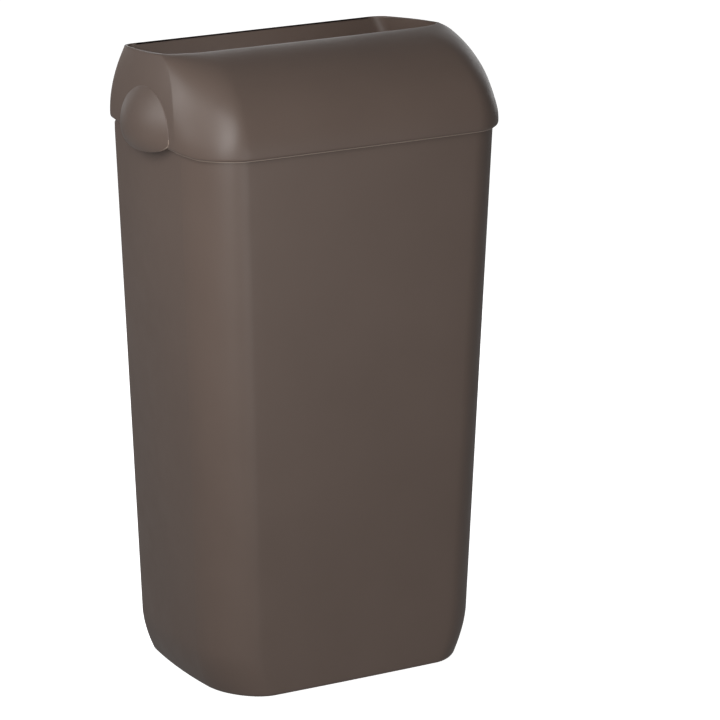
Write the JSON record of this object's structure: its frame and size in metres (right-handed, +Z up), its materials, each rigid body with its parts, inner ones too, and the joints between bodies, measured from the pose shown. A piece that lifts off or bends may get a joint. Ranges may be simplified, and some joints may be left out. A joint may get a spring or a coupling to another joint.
{
  "type": "waste bin",
  "caption": "Tapered brown plastic waste bin with a lift-off domed hood, top mouth, inner bag ring and a hook-on steel wall bracket.",
  "frame": {"origin": "middle of the whole object's footprint, on the floor under its foot pads", "axes": "+Z up, -Y towards the domed front, +Y towards the wall behind, +X to the viewer's right when facing the front"},
  "size_m": [0.364, 0.221, 0.619],
  "materials": {
    "brown_plastic": "satin moulded plastic with a fine grain, brown",
    "dark_plastic": "matt moulded plastic, near black",
    "zinc_steel": "zinc-plated sheet steel",
    "aluminium": "plain rivet",
    "black_rubber": "matt"
  },
  "bodies": {
    "tub": {"tub_body": "brown_plastic", "hanger_plate": "zinc_steel", "hanger_rivet_lower_left": "aluminium", "hanger_rivet_lower_right": "aluminium", "hanger_rivet_upper_left": "aluminium", "hanger_rivet_upper_right": "aluminium", "foot_pad_front_left": "black_rubber", "foot_pad_front_right": "black_rubber", "foot_pad_rear_left": "black_rubber", "foot_pad_rear_right": "black_rubber"},
    "bag_ring": {"bag_ring": "dark_plastic"},
    "hood": {"hood": "brown_plastic"},
    "wall_bracket": {"wall_bracket": "zinc_steel"}
  },
  "joints": [
    {"name": "ring_lift", "type": "slide", "parent": "tub", "child": "bag_ring", "axis": [0, 0, 1], "range_m": [0, 0.09]},
    {"name": "hood_lift", "type": "slide", "parent": "bag_ring", "child": "hood", "axis": [0, 0, 1], "range_m": [0, 0.12]},
    {"name": "bracket_unhook", "type": "slide", "parent": "tub", "child": "wall_bracket", "axis": [0, 0.7071, -0.7071], "range_m": [0, 0.04]}
  ]
}
